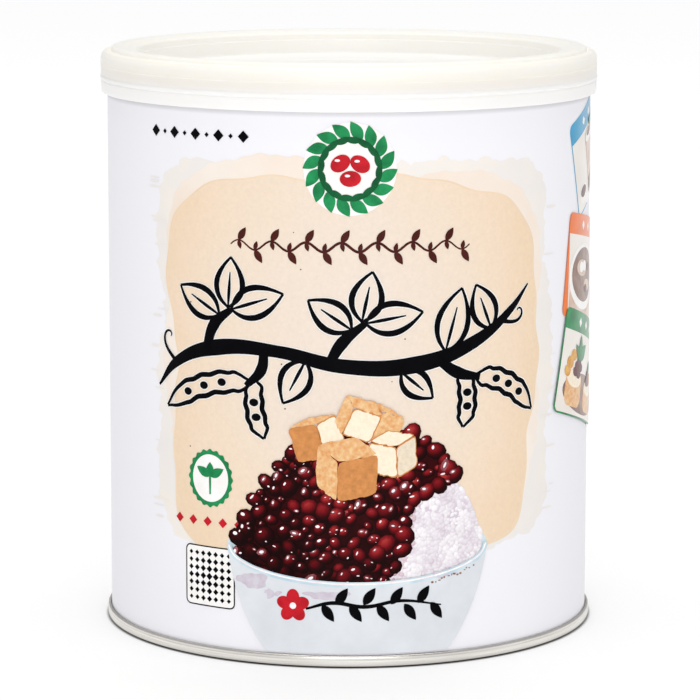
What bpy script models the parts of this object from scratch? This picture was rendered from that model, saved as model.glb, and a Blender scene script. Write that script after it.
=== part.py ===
"""A sealed three-piece food tin, size 603 x 700, with its plastic over-cap pressed on.

The tin stands on the seam of its bottom end, with its axis on +Z and the base at z = 0.
It is shut, so its body is solid up to the two tinplate ends. Profiles are in millimetres,
as radius, height and the fillet of that corner, and are turned about the axis.
"""

import math

import bmesh
import bpy
from mathutils import Matrix, Vector

MM = 0.001
SIDES = 72  # facets round each turned piece
CORNER_STEPS = 2  # straight pieces in each rounded corner
CLEARANCE = 0.3  # gap between pieces that touch
ON_AXIS = 1e-9  # points nearer the axis than this lie on it
SHARP_ANGLE = 35  # edges steeper than this many degrees stay sharp

# The tin: 6 3/16 inch over the seams and 7 inches tall, as trade size 603 x 700 says
BODY_RADIUS = 76.9
CAN_HEIGHT = 177.8
SEAM_RADIUS = 78.05
SEAM_HEIGHT = 3.8
SEAM_THICKNESS = 2.45  # from the outside of the seam to the chuck wall
SEAM_ROUNDING = 0.9  # height over which the seam's edge rounds off
SEAM_LIP = 0.3  # how far the lip against the body steps in
SEAM_SHEET = 0.5  # metal between the chuck wall and the channel
CHANNEL_DEPTH = 1.5  # how far the body's edge reaches down inside the seam
FOOT_WIDTH = 0.9  # flat ring that the tin stands on

# The ends, pressed from thin sheet and sunk between the seams
SINK_DEPTH = 4.7  # bottom of the groove beside the chuck wall
GROOVE_WIDTH = 2.0
WALL_LEAN = 0.5  # how far each wall of the groove leans
PANEL_DEPTH = 3.1
END_FILLET = 0.5
RING_DEPTH = 3.8  # floor of the shallow expansion ring
RING_OUTER = 62.0
RING_INNER = 50.0
RING_SLOPE = 1.2
END_THICKNESS = 0.9

# The over-cap's skirt and shoulder, moulded in soft plastic about a millimetre thick
CAP_WALL = 0.9
CAP_RADIUS = 78.95
CAP_SKIRT_BOTTOM = 169.6
CAP_SKIRT_RADIUS = 78.75
CAP_SKIRT_FILLET = 0.35
CAP_BEAD_HEIGHT = 174.3  # snap bead, just under the top seam
CAP_BEAD_RADIUS = 79.1
CAP_BEAD_RISE = 0.7  # from the middle of the bead to its edges
CAP_LEDGE_THICKNESS = 0.6  # ledge inside, which sits on the seam
CAP_LEDGE_WIDTH = 1.35
CAP_SHOULDER = 182.2
CAP_SHOULDER_FILLET = 2.4

# The over-cap's raised stacking ring and the panel sunk inside it
CAP_GROOVE_RADIUS = 75.8  # foot of the ring on the shoulder
CAP_RING_TOP = 184.0
CAP_RING_LEAN = 0.5
CAP_RING_FILLET = 0.7
CAP_RING_CREST = 71.9  # the crown is level out from here and falls inwards
CAP_RING_FALL = 1.0
CAP_RING_INNER = 67.4
CAP_PANEL_HEIGHT = 176.1
CAP_PANEL_RADIUS = 66.2
CAP_PANEL_FILLET = 0.9
CAP_STEP = 0.3  # the middle of the panel lies this much lower
CAP_STEP_RADIUS = 42.5
CAP_STEP_SLOPE = 0.8


def clear_scene():
    for obj in list(bpy.data.objects):
        bpy.data.objects.remove(obj, do_unlink=True)


def finish(name, colour, roughness, metallic):
    material = bpy.data.materials.new(name)
    material.use_nodes = True
    shader = material.node_tree.nodes["Principled BSDF"]
    shader.inputs["Base Color"].default_value = (*colour, 1.0)
    shader.inputs["Roughness"].default_value = roughness
    shader.inputs["Metallic"].default_value = metallic
    return material


def rounded(corners):
    """Profile points with each corner (radius, height, fillet) rounded by an arc of its fillet."""
    points = []
    count = len(corners)
    for index, (radius, height, fillet) in enumerate(corners):
        here = Vector((radius, height))
        before = Vector(corners[index - 1][:2]) - here
        after = Vector(corners[(index + 1) % count][:2]) - here
        if fillet == 0:
            points.append(here)
            continue
        half_angle = before.angle(after) / 2
        along = fillet / math.tan(half_angle)
        start = here + before.normalized() * along
        end = here + after.normalized() * along
        to_centre = (before.normalized() + after.normalized()).normalized()
        centre = here + to_centre * (fillet / math.sin(half_angle))
        swept = (start - centre).angle_signed(end - centre)
        for step in range(CORNER_STEPS + 1):
            turn = Matrix.Rotation(-swept * step / CORNER_STEPS, 2)
            points.append(centre + turn @ (start - centre))
    return points


def turned(name, corners, material):
    """One closed solid, turned about Z from a closed profile."""
    mesh = bmesh.new()
    profile = [mesh.verts.new((p.x * MM, 0, p.y * MM)) for p in rounded(corners)]
    edges = [
        mesh.edges.new((profile[index - 1], profile[index]))
        for index in range(len(profile))
        if max(profile[index - 1].co.x, profile[index].co.x) > ON_AXIS
    ]
    bmesh.ops.spin(
        mesh,
        geom=profile + edges,
        cent=(0, 0, 0),
        axis=(0, 0, 1),
        angle=math.tau,
        steps=SIDES,
        use_merge=True,
    )
    bmesh.ops.remove_doubles(mesh, verts=mesh.verts, dist=1e-6)
    bmesh.ops.recalc_face_normals(mesh, faces=mesh.faces)
    data = bpy.data.meshes.new(name)
    mesh.to_mesh(data)
    mesh.free()
    data.shade_smooth()
    data.set_sharp_from_angle(angle=math.radians(SHARP_ANGLE))
    data.materials.append(material)
    obj = bpy.data.objects.new(name, data)
    bpy.context.scene.collection.objects.link(obj)
    return obj


def end_corners():
    """A tinplate end with its double seam, seam edge at height 0 and the panel sunk above it."""
    seam_inner = SEAM_RADIUS - SEAM_THICKNESS
    groove_outer = seam_inner - WALL_LEAN
    groove_inner = groove_outer - GROOVE_WIDTH
    foot_inner = SEAM_RADIUS - SEAM_THICKNESS / 2 - FOOT_WIDTH / 2
    channel_outer = BODY_RADIUS + CLEARANCE
    channel_inner = seam_inner + SEAM_SHEET
    channel_floor = SEAM_HEIGHT - CHANNEL_DEPTH
    back = SINK_DEPTH + END_THICKNESS
    return [
        (0, PANEL_DEPTH, 0),
        (RING_INNER - RING_SLOPE, PANEL_DEPTH, 0),
        (RING_INNER, RING_DEPTH, 0),
        (RING_OUTER, RING_DEPTH, 0),
        (RING_OUTER + RING_SLOPE, PANEL_DEPTH, 0),
        (groove_inner - WALL_LEAN, PANEL_DEPTH, END_FILLET),
        (groove_inner, SINK_DEPTH, END_FILLET),
        (groove_outer, SINK_DEPTH, END_FILLET),
        (seam_inner, SEAM_ROUNDING, 0),
        (foot_inner, 0, 0),
        (foot_inner + FOOT_WIDTH, 0, 0),
        (SEAM_RADIUS, SEAM_ROUNDING, 0),
        (SEAM_RADIUS, SEAM_HEIGHT - SEAM_ROUNDING, 0),
        (SEAM_RADIUS - SEAM_LIP, SEAM_HEIGHT, 0),
        (channel_outer, SEAM_HEIGHT, 0),
        (channel_outer, channel_floor, 0),
        (channel_inner, channel_floor, 0),
        (channel_inner, back, 0),
        (0, back, 0),
    ]


def bottom_end(material):
    return turned("bottom_end", end_corners(), material)


def top_end(material):
    """The same end the other way up. The cap hides it, so its corners are plain."""
    corners = [(radius, CAN_HEIGHT - height, 0) for radius, height, fillet in end_corners()]
    return turned("top_end", corners, material)


def can_body(material):
    """The printed body and all that is shut up in it, with an edge that reaches into each seam."""
    edge_inner = SEAM_RADIUS - SEAM_THICKNESS + SEAM_SHEET + CLEARANCE
    edge_bottom = SEAM_HEIGHT - CHANNEL_DEPTH + CLEARANCE
    floor = SINK_DEPTH + END_THICKNESS + CLEARANCE
    lower = [(0, floor), (edge_inner, floor), (edge_inner, edge_bottom), (BODY_RADIUS, edge_bottom)]
    upper = [(radius, CAN_HEIGHT - height) for radius, height in reversed(lower)]
    return turned("can_body", [(*point, 0) for point in lower + upper], material)


def cap_outside():
    """Down-facing skirt edge, out and up over the shoulder and ring, and in across the panel."""
    ring_outer = CAP_GROOVE_RADIUS - CAP_RING_LEAN
    middle = CAP_PANEL_HEIGHT - CAP_STEP
    return [
        (CAP_SKIRT_RADIUS, CAP_SKIRT_BOTTOM, CAP_SKIRT_FILLET),
        (CAP_RADIUS, CAP_BEAD_HEIGHT - CAP_BEAD_RISE, 0),
        (CAP_BEAD_RADIUS, CAP_BEAD_HEIGHT, 0),
        (CAP_RADIUS, CAP_BEAD_HEIGHT + CAP_BEAD_RISE, 0),
        (CAP_RADIUS, CAP_SHOULDER, CAP_SHOULDER_FILLET),
        (CAP_GROOVE_RADIUS, CAP_SHOULDER, 0),
        (ring_outer, CAP_RING_TOP, CAP_RING_FILLET),
        (CAP_RING_CREST, CAP_RING_TOP, 0),
        (CAP_RING_INNER, CAP_RING_TOP - CAP_RING_FALL, CAP_RING_FILLET),
        (CAP_PANEL_RADIUS, CAP_PANEL_HEIGHT, CAP_PANEL_FILLET),
        (CAP_STEP_RADIUS + CAP_STEP_SLOPE, CAP_PANEL_HEIGHT, 0),
        (CAP_STEP_RADIUS, middle, 0),
        (0, middle, 0),
    ]


def cap_inside():
    """Out under the panel, up inside the ring, and down over the seam to the skirt's edge."""
    ring_outer = CAP_GROOVE_RADIUS - CAP_RING_LEAN
    under_shoulder = CAP_SHOULDER - CAP_WALL
    under_panel = CAN_HEIGHT - PANEL_DEPTH + CLEARANCE
    wall_inside = CAP_RADIUS - CAP_WALL
    skirt_inside = CAP_SKIRT_RADIUS - CAP_WALL
    seam_side = SEAM_RADIUS + CLEARANCE
    seam_top = CAN_HEIGHT + CLEARANCE
    bead_inside = BODY_RADIUS + 2 * CLEARANCE
    bead_bottom = CAP_BEAD_HEIGHT - 2 * CAP_BEAD_RISE
    return [
        (0, under_panel, 0),
        (CAP_PANEL_RADIUS + CAP_WALL, under_panel, 0),
        (CAP_RING_INNER + CAP_WALL, CAP_RING_TOP - CAP_RING_FALL - CAP_WALL, 0),
        (ring_outer - CAP_WALL, CAP_RING_TOP - CAP_WALL, 0),
        (CAP_GROOVE_RADIUS - CAP_WALL, under_shoulder, 0),
        (wall_inside, under_shoulder, CAP_SHOULDER_FILLET - CAP_WALL),
        (wall_inside, seam_top + CAP_LEDGE_THICKNESS, 0),
        (seam_side - CAP_LEDGE_WIDTH, seam_top + CAP_LEDGE_THICKNESS, 0),
        (seam_side - CAP_LEDGE_WIDTH, seam_top, 0),
        (seam_side, seam_top, 0),
        (seam_side, CAP_BEAD_HEIGHT, 0),
        (bead_inside, CAP_BEAD_HEIGHT - CAP_BEAD_RISE, 0),
        (skirt_inside, bead_bottom, 0),
        (skirt_inside, CAP_SKIRT_BOTTOM, CAP_SKIRT_FILLET),
    ]


def over_cap(material):
    """The plastic cap: a skirt over the top seam, a raised stacking ring and a sunken panel."""
    return turned("over_cap", cap_outside() + cap_inside(), material)


def main():
    clear_scene()
    printed_tinplate = finish("printed_tinplate", (0.88, 0.88, 0.90), 0.3, 0.0)
    bare_tinplate = finish("bare_tinplate", (0.62, 0.60, 0.56), 0.25, 1.0)
    soft_plastic = finish("soft_plastic", (0.93, 0.90, 0.82), 0.45, 0.0)
    can_body(printed_tinplate)
    bottom_end(bare_tinplate)
    top_end(bare_tinplate)
    over_cap(soft_plastic)


main()
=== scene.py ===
"""The looks of a shut food tin: printed and lacquered body, tinplate seam and plastic over-cap.

The file is laid out as a Blender add-on and is run as a script. Pieces are modelled in
millimetres and scaled to metres when they are finished. Print is drawn flat, as millimetres
across from the front line and up from the base, and is then bent round the body, one film of
ink over another.
"""

import math
import random

import bpy
from bpy.props import FloatProperty, FloatVectorProperty, IntProperty, PointerProperty
from mathutils import Euler, Matrix, Vector


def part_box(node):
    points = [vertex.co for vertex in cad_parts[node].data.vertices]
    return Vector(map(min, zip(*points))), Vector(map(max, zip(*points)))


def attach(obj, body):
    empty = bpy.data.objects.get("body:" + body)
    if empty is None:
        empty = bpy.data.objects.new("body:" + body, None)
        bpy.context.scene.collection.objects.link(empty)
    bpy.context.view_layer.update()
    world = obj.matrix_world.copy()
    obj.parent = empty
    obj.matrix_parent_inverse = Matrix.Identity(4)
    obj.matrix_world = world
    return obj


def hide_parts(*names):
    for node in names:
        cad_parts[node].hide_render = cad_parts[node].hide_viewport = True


bl_info = {
    "name": "Printed food tin",
    "version": (1, 0, 0),
    "blender": (4, 5, 0),
    "location": "3D View > Sidebar > Food tin",
    "description": "Dresses a shut food tin with lacquer, print, tinplate and a plastic cap",
    "category": "Add Mesh",
}

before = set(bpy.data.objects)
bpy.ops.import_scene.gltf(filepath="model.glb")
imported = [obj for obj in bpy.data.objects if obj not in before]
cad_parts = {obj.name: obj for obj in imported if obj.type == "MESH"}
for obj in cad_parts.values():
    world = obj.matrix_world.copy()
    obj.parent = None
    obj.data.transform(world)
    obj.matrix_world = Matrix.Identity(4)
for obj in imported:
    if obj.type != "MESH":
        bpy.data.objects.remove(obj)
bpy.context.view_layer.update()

MM = 0.001
MICRON = 0.001  # in millimetres

# Sizes that the solids give, in millimetres
BODY_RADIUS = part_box("can_body")[1].x / MM
BODY_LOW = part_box("can_body")[0].z / MM
SEAM_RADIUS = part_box("bottom_end")[1].x / MM
END_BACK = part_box("bottom_end")[1].z / MM
TIN_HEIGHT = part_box("top_end")[1].z / MM
CAP_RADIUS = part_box("over_cap")[1].x / MM
CAP_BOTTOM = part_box("over_cap")[0].z / MM
CAP_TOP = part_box("over_cap")[1].z / MM


def linear(hex_colour):
    """An sRGB hex colour as linear red, green and blue."""
    channels = [int(hex_colour[i : i + 2], 16) / 255 for i in (1, 3, 5)]
    return tuple(c / 12.92 if c <= 0.04045 else ((c + 0.055) / 1.055) ** 2.4 for c in channels)


def colour_property(name, description, hex_colour):
    return FloatVectorProperty(
        name=name,
        description=description,
        subtype="COLOR",
        min=0.0,
        max=1.0,
        default=linear(hex_colour),
    )


class FoodTinSizes(bpy.types.PropertyGroup):
    """Sizes of the print and of the fine detail"""

    ink: FloatProperty(name="Ink", description="Thickness of one film of print, in mm", default=0.03)
    layer: FloatProperty(name="Layer", description="Height from film to film, in mm", default=0.04)
    strip: FloatProperty(
        name="Strip", description="Widest flat strip of a film that is bent round, in mm", default=2.0
    )
    sides: IntProperty(name="Sides", description="Facets round a turned piece", default=288)
    beans: IntProperty(name="Beans", description="Beans tried for in the picture", default=5200)


class FoodTinColours(bpy.types.PropertyGroup):
    """Colours of the lacquer, the inks, the metal and the cap"""

    lacquer: colour_property("Lacquer", "White coating of the body", "#F4F3F8")
    wash: colour_property("Wash", "Pale outer watercolour", "#F0ECE9")
    peach: colour_property("Peach", "Warm inner watercolour", "#F4DCC0")
    black: colour_property("Black", "Brushed motif", "#0B0B0F")
    brown: colour_property("Brown", "Fine vine", "#4A1E1A")
    green: colour_property("Green", "Leaves and seal", "#238A52")
    red: colour_property("Red", "Emblem beans", "#C41F2B")
    orange: colour_property("Orange", "Warm header", "#F0782F")
    blue: colour_property("Blue", "Cool header", "#0A9CCB")
    bean: colour_property("Bean", "Cooked red beans", "#6E0B15")
    ice: colour_property("Ice", "Shaved ice", "#E9E1E8")
    crust: colour_property("Crust", "Browned rice cake", "#CE8B52")
    crumb: colour_property("Crumb", "Cut face of the rice cake", "#F8E8D0")
    bowl: colour_property("Bowl", "Pale bowl", "#D9DDE2")
    tinplate: colour_property("Tinplate", "Bare metal", "#E9E4DE")
    cap: colour_property("Cap", "Plastic over-cap", "#FAF6EA")


class FoodTinStage(bpy.types.PropertyGroup):
    """Camera and light"""

    distance: FloatProperty(
        name="Distance", description="Camera to the tin's axis", default=1.10862, unit="LENGTH"
    )
    height: FloatProperty(
        name="Height", description="Camera over the floor", default=0.26665, unit="LENGTH"
    )
    pitch: FloatProperty(
        name="Pitch", description="How far the camera looks down", default=0.14769, unit="ROTATION"
    )
    roll: FloatProperty(
        name="Roll", description="Turn about the line of sight", default=0.001, unit="ROTATION"
    )
    lens: FloatProperty(name="Lens", description="Focal length", default=178.93, unit="CAMERA")
    shift: FloatProperty(name="Shift", description="Vertical lens shift", default=-0.0714)
    shift_across: FloatProperty(name="Shift across", description="Sideways lens shift", default=0.002)


# Modelling helpers


def sizes():
    return bpy.context.scene.food_tin_sizes


def select_only(*objects):
    bpy.ops.object.select_all(action="DESELECT")
    for obj in objects:
        obj.select_set(True)
    bpy.context.view_layer.objects.active = objects[0]


def edit(piece):
    """Open one piece in edit mode with all of it selected."""
    select_only(piece)
    bpy.ops.object.mode_set(mode="EDIT")
    bpy.ops.mesh.select_all(action="SELECT")


def close_seams():
    """Merge doubles, turn the faces out and leave edit mode."""
    bpy.ops.mesh.select_all(action="SELECT")
    bpy.ops.mesh.remove_doubles(threshold=MICRON)
    bpy.ops.mesh.normals_make_consistent(inside=False)
    bpy.ops.object.mode_set(mode="OBJECT")


def finish_piece(piece, finish, slot, *nodes):
    """Scale a piece to metres, give it its finish and hang it on the tin's one body."""
    select_only(piece)
    piece.scale = (MM, MM, MM)
    bpy.ops.object.transform_apply(location=True, rotation=True, scale=True)
    bpy.ops.object.shade_smooth_by_angle(angle=math.radians(30))
    piece.data.materials.clear()
    piece.data.materials.append(finish_named(finish))
    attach(piece, "root")
    if nodes:
        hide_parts(*nodes)


def rounded(corners, steps=5):
    """Profile points with each corner (radius, height, fillet) rounded by an arc of its fillet."""
    points = []
    for index, (radius, height, fillet) in enumerate(corners):
        here = Vector((radius, height))
        if fillet == 0:
            points.append(here)
            continue
        before = (Vector(corners[index - 1][:2]) - here).normalized()
        after = (Vector(corners[index + 1][:2]) - here).normalized()
        half_angle = before.angle(after) / 2
        start = here + before * fillet / math.tan(half_angle)
        end = here + after * fillet / math.tan(half_angle)
        centre = here + (before + after).normalized() * fillet / math.sin(half_angle)
        swept = (start - centre).angle_signed(end - centre)
        for step in range(steps + 1):
            turn = Matrix.Rotation(-swept * step / steps, 2)
            points.append(centre + turn @ (start - centre))
    return points


def turned(name, corners):
    """Spin a profile that starts and ends on the axis into one closed piece."""
    points = rounded(corners)
    bpy.ops.object.select_all(action="DESELECT")
    bpy.ops.mesh.primitive_plane_add(size=1, location=(points[0].x, 0, points[0].y))
    piece = bpy.context.object
    piece.name = name
    bpy.ops.object.transform_apply(location=True)
    edit(piece)
    bpy.ops.mesh.merge(type="CENTER")
    for here, there in zip(points, points[1:]):
        step = (there.x - here.x, 0, there.y - here.y)
        bpy.ops.mesh.extrude_vertices_move(TRANSFORM_OT_translate={"value": step})
    bpy.ops.mesh.select_all(action="SELECT")
    bpy.ops.mesh.spin(steps=sizes().sides, angle=math.tau, center=(0, 0, 0), axis=(0, 0, 1))
    close_seams()
    return piece


# Drawing helpers: outlines are lists of (across, up) points in millimetres


def turn_about(points, centre, angle):
    c, s = math.cos(angle), math.sin(angle)
    return [
        (centre[0] + c * (x - centre[0]) - s * (z - centre[1]),
         centre[1] + s * (x - centre[0]) + c * (z - centre[1]))
        for x, z in points
    ]


def ellipse(across, up, half_width, half_height, start=0.0, end=math.tau, steps=48):
    full = abs(end - start) >= math.tau - 1e-6
    count = steps if full else steps + 1
    return [
        (across + half_width * math.cos(start + (end - start) * i / steps),
         up + half_height * math.sin(start + (end - start) * i / steps))
        for i in range(count)
    ]


def box_outline(across, up, width, height, corner=0.0):
    """A rectangle by its centre, with its corners rounded."""
    if corner == 0:
        w, h = width / 2, height / 2
        return [(across - w, up - h), (across + w, up - h), (across + w, up + h), (across - w, up + h)]
    points = []
    for quarter in range(4):
        turn = quarter * math.pi / 2
        sign_x = 1 if quarter in (0, 3) else -1
        sign_z = 1 if quarter in (0, 1) else -1
        centre = (across + sign_x * (width / 2 - corner), up + sign_z * (height / 2 - corner))
        points += ellipse(*centre, corner, corner, turn, turn + math.pi / 2, 5)
    return points


def diamond(across, up, size):
    return turn_about(box_outline(across, up, size, size), (across, up), math.pi / 4)


def leaf_outline(base, length, width, angle, steps=14):
    """A pointed leaf that grows from its base at that angle, fullest a little below its middle."""
    side = [
        (t * length, width / 2 * math.sin(math.pi * t**0.85) ** 0.9)
        for t in (i / steps for i in range(steps + 1))
    ]
    points = side + [(x, -z) for x, z in side[-2:0:-1]]
    return turn_about([(base[0] + x, base[1] + z) for x, z in points], base, angle)


def blot_outline(across, up, width, height, power, waves, seed, steps=420):
    """A watercolour blot: a soft-cornered box whose edge wanders by a few seeded waves."""
    rng = random.Random(seed)
    phases = [(count, size, rng.uniform(0, math.tau)) for count, size in waves]
    points = []
    for i in range(steps):
        t = math.tau * i / steps
        c, s = math.cos(t), math.sin(t)
        reach = (abs(c) ** power + abs(s) ** power) ** (-1 / power)
        wander = sum(size * math.sin(count * t + phase) for count, size, phase in phases)
        points.append(
            (across + c * (reach * width / 2 + wander), up + s * (reach * height / 2 + wander))
        )
    return points


def flat_shape(*outlines, thickness=None):
    """A thin flat slab in the X-Z plane from closed outlines, where an inner outline cuts a hole."""
    curve = bpy.data.curves.new("shape", "CURVE")
    curve.dimensions = "2D"
    curve.fill_mode = "BOTH"
    curve.extrude = (thickness or sizes().ink) / 2
    for outline in outlines:
        spline = curve.splines.new("POLY")
        spline.points.add(len(outline) - 1)
        for point, (x, z) in zip(spline.points, outline):
            point.co = (x, z, 0, 1)
        spline.use_cyclic_u = True
    return stand_up(curve)


def brush_stroke(points):
    """A stroke through (across, up, half width) points: a tube whose girth varies, pressed flat."""
    curve = bpy.data.curves.new("stroke", "CURVE")
    curve.dimensions = "3D"
    curve.bevel_depth = 1
    curve.bevel_resolution = 2
    curve.resolution_u = 8
    curve.use_fill_caps = True
    spline = curve.splines.new("BEZIER")
    spline.bezier_points.add(len(points) - 1)
    for point, (x, z, girth) in zip(spline.bezier_points, points):
        point.co = (x, z, 0)
        point.radius = girth
        point.handle_left_type = point.handle_right_type = "AUTO"
    return stand_up(curve, sizes().ink / 2 / max(girth for x, z, girth in points))


def stand_up(curve, press=1.0):
    """Turn a drawn curve into a mesh that stands in the X-Z plane."""
    piece = bpy.data.objects.new(curve.name, curve)
    bpy.context.scene.collection.objects.link(piece)
    select_only(piece)
    bpy.ops.object.convert(target="MESH")
    piece = bpy.context.object
    piece.scale.z = press
    piece.rotation_euler.x = math.pi / 2
    bpy.ops.object.transform_apply(rotation=True, scale=True)
    edit(piece)
    close_seams()
    return piece


def join(name, pieces):
    select_only(*pieces)
    if len(pieces) > 1:
        bpy.ops.object.join()
    piece = bpy.context.object
    piece.name = name
    return piece


def fanned(shapes, step=0.003):
    """Lift each flat shape a little over the one before, so that no two share a face."""
    for index, shape in enumerate(shapes):
        shape.location.y = -step * index
    select_only(*shapes)
    bpy.ops.object.transform_apply(location=True)
    return shapes


def wrap(piece, radius, strip):
    """Cut a flat piece into upright strips and bend it round the tin's axis at that radius."""
    across = [v.co.x for v in piece.data.vertices]
    low, high = min(across), max(across)
    if strip:
        edit(piece)
        for k in range(math.floor(low / strip) + 1, math.ceil(high / strip)):
            bpy.ops.mesh.select_all(action="SELECT")
            bpy.ops.mesh.bisect(plane_co=(k * strip, 0, 0), plane_no=(1, 0, 0))
        bpy.ops.object.mode_set(mode="OBJECT")
    select_only(piece)
    bend = piece.modifiers.new("wrap", "SIMPLE_DEFORM")
    bend.deform_method = "BEND"
    bend.deform_axis = "Z"
    bend.angle = (high - low) / radius
    bpy.ops.object.modifier_apply(modifier=bend.name)
    piece.location.y = -radius
    bpy.ops.object.transform_apply(location=True)
    return piece


def print_film(name, shapes, layer, finish, once=False, strip=None, slot="printed_tinplate"):
    """Join flat shapes into one film of ink, wrap it on its layer and finish it.

    Unless it is printed once, the film is repeated on the back, half a turn round the tin.
    """
    piece = join(name, shapes)
    radius = BODY_RADIUS + sizes().layer * (layer + 0.5)
    wrap(piece, radius, sizes().strip if strip is None else strip)
    if not once:
        select_only(piece)
        bpy.ops.object.duplicate()
        back = bpy.context.object
        back.rotation_euler.z = math.pi
        bpy.ops.object.transform_apply(rotation=True)
        piece = join(name, [piece, back])
    finish_piece(piece, finish, slot)


def filled(name, outlines, layer, finish, once=False):
    """One film from outlines, where an inner outline cuts a hole."""
    print_film(name, [flat_shape(*outlines)], layer, finish, once)


def shapes_from(outlines):
    """A flat shape from each outline, each a little over the one before."""
    return fanned([flat_shape(outline) for outline in outlines])


# Finishes, each made when a piece first asks for it by name


def set_inputs(tree, node, inputs):
    """Link each input that is given as a socket, and set any other as its value."""
    for name, value in inputs.items():
        if isinstance(value, bpy.types.NodeSocket):
            tree.links.new(value, node.inputs[name])
        else:
            node.inputs[name].default_value = value


def add(tree, kind, inputs=None, **settings):
    """Add one shader node with its settings and its inputs."""
    made = tree.nodes.new("ShaderNode" + kind)
    for name, value in settings.items():
        setattr(made, name, value)
    set_inputs(tree, made, inputs or {})
    return made


def start_material(name):
    material = bpy.data.materials.new(name)
    material.use_nodes = True
    return material, material.node_tree, material.node_tree.nodes["Principled BSDF"]


def tone(given):
    """Red, green, blue and alpha of a hex colour, a grey, or a (colour of the tin, factor)."""
    if isinstance(given, str):
        rgb = linear(given)
    elif isinstance(given, float):
        rgb = (given, given, given)
    else:
        name, factor = given
        rgb = (min(c * factor, 1.0) for c in getattr(bpy.context.scene.food_tin_colours, name))
    return (*rgb, 1.0)


def set_stops(ramp, stops):
    """Give a ramp its (place, tone) stops. Its first and last keep the ends of the ramp."""
    elements = ramp.color_ramp.elements
    for element, (position, given) in zip(elements, (stops[0], stops[-1])):
        element.position, element.color = position, tone(given)
    for position, given in stops[1:-1]:
        elements.new(position).color = tone(given)


PRINT_ROUGHNESS = 0.34


def varnish(tree, shader, colour, gloss=0.06):
    """The clear varnish over all the print: a soft gloss, and a clear coat where the body turns away."""
    facing = add(tree, "LayerWeight", {"Blend": 0.5}).outputs["Facing"]
    grazed = add(tree, "MapRange", {"Value": facing, "From Min": 0.5, "From Max": 0.75})
    set_inputs(tree, shader, {
        "Base Color": colour,
        "Roughness": PRINT_ROUGHNESS,
        "Specular IOR Level": gloss,
        "Coat Weight": grazed.outputs["Result"],
        "Coat Roughness": PRINT_ROUGHNESS,
    })


INKS = {
    # low tone, high tone, grain in millimetres, detail, edges of the drift between them, gloss
    # Thin watercolour, printed: almost the white of the tin, in slow pale drifts
    "outer_wash": (("wash", 0.97), "#F4EDE5", 26, 6.0),
    # A thinner coat that shows round the warm one
    "middle_wash": ("#F3E4D6", "#F6ECE2", 30, 5.0),
    # Paint dries darkest at the rim of a blot
    "wash_edge": (("peach", 0.93), ("peach", 0.985), 12),
    # Dense black offset ink: very dark, a touch blue and closed
    "black_ink": (("black", 0.6), ("black", 1.0), 5, 4.0, (0.35, 0.65), 0.02),
    # The white of the keyline and of the grounds under small print
    "white_ink": ("#F7F4F0", "#FDFCFB", 6),
    # Fine lines in dark brown
    "brown_ink": (("brown", 0.85), ("brown", 1.2), 4),
    # Printed leaves: mid green in two close shades, and a deeper green for veins and rims
    "green_ink": (("green", 0.7), ("green", 1.25), 6),
    "dark_green_ink": (("green", 0.35), ("green", 0.5), 5),
    # Bright printed red
    "red_ink": (("red", 0.8), ("red", 1.15), 5),
    # The flat header tones, warm and cool
    "orange_ink": (("orange", 0.92), ("orange", 1.08), 9),
    "blue_ink": (("blue", 0.9), ("blue", 1.1), 9),
    # The dark syrup between the beans
    "syrup_ink": (("bean", 0.06), ("bean", 0.22), 7),
    # Pale blue-white china with slow soft shading, its lit edge, and the lilac that shows through it
    "bowl_ink": (("bowl", 1.0), ("bowl", 1.1), 16, 5.0),
    "bowl_rim_ink": ("#BDD6E2", "#DCE9EE", 8),
    "smudge_ink": ("#C9BCCB", "#D6D2DB", 3.0, 4.0),
    # Browned cake, freckled where the oven caught it, and its lit, less browned side
    "crust_ink": (("crust", 0.85), ("crust", 1.22), 1.6, 6.0, (0.3, 0.7)),
    "pale_crust_ink": (("crust", 1.2), "#F0CB98", 1.5, 6.0, (0.3, 0.65)),
    # A cut face of the cake, cream with fine pores, in the light and in shadow
    "crumb_ink": (("crumb", 0.95), ("crumb", 1.08), 1.4, 6.0, (0.3, 0.6)),
    "crumb_shade_ink": (("crumb", 0.78), ("crumb", 0.92), 1.4, 6.0, (0.3, 0.6)),
    # Small white lights on wet beans, and the softer light round the brightest
    "glint_ink": ("#F6E9EE", "#FFFFFF", 3),
    "sheen_ink": ("#6E2A30", "#A3656A", 3),
    # The shade between the grains of ice
    "ice_ground_ink": ("#D9CCD8", "#EDE4EC", 8),
    # The small dishes: beans, candied nuts, a blurred table, milky drink and mottled porridge
    "red_bean_ink": (("bean", 0.25), ("bean", 1.0), 1.6, 4.0),
    "nut_ink": ("#C9822C", "#E9B55C", 3.0, 4.0),
    "card_ground": ("#ECE4DC", "#F6F0EA", 22, 1.0),
    "shake_ink": ("#CDA994", "#E8D3C4", 7, 2.0),
    "porridge_ink": ("#6E4A3C", "#A07F70", 6),
}
DROP_STOPS = {
    # tones from the shaded side of a drop to its lit side
    # Cooked red beans in syrup: near black at the rim, wine red where light gets in
    "bean_ink": [
        (0.0, ("bean", 0.05)), (0.3, ("bean", 0.2)), (0.6, ("bean", 0.9)), (0.82, "#8F1D22"), (1.0, "#B23B38")
    ],
    # Shaved ice: wet white grains with lilac between them
    "ice_ink": [(0.0, "#CDBFCB"), (0.4, ("ice", 0.97)), (1.0, "#FCFAFC")],
    # Ice that the syrup has run into
    "stained_ice_ink": [(0.0, "#B98E9C"), (0.45, "#D9BFC8"), (1.0, "#F3E6EA")],
}


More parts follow.
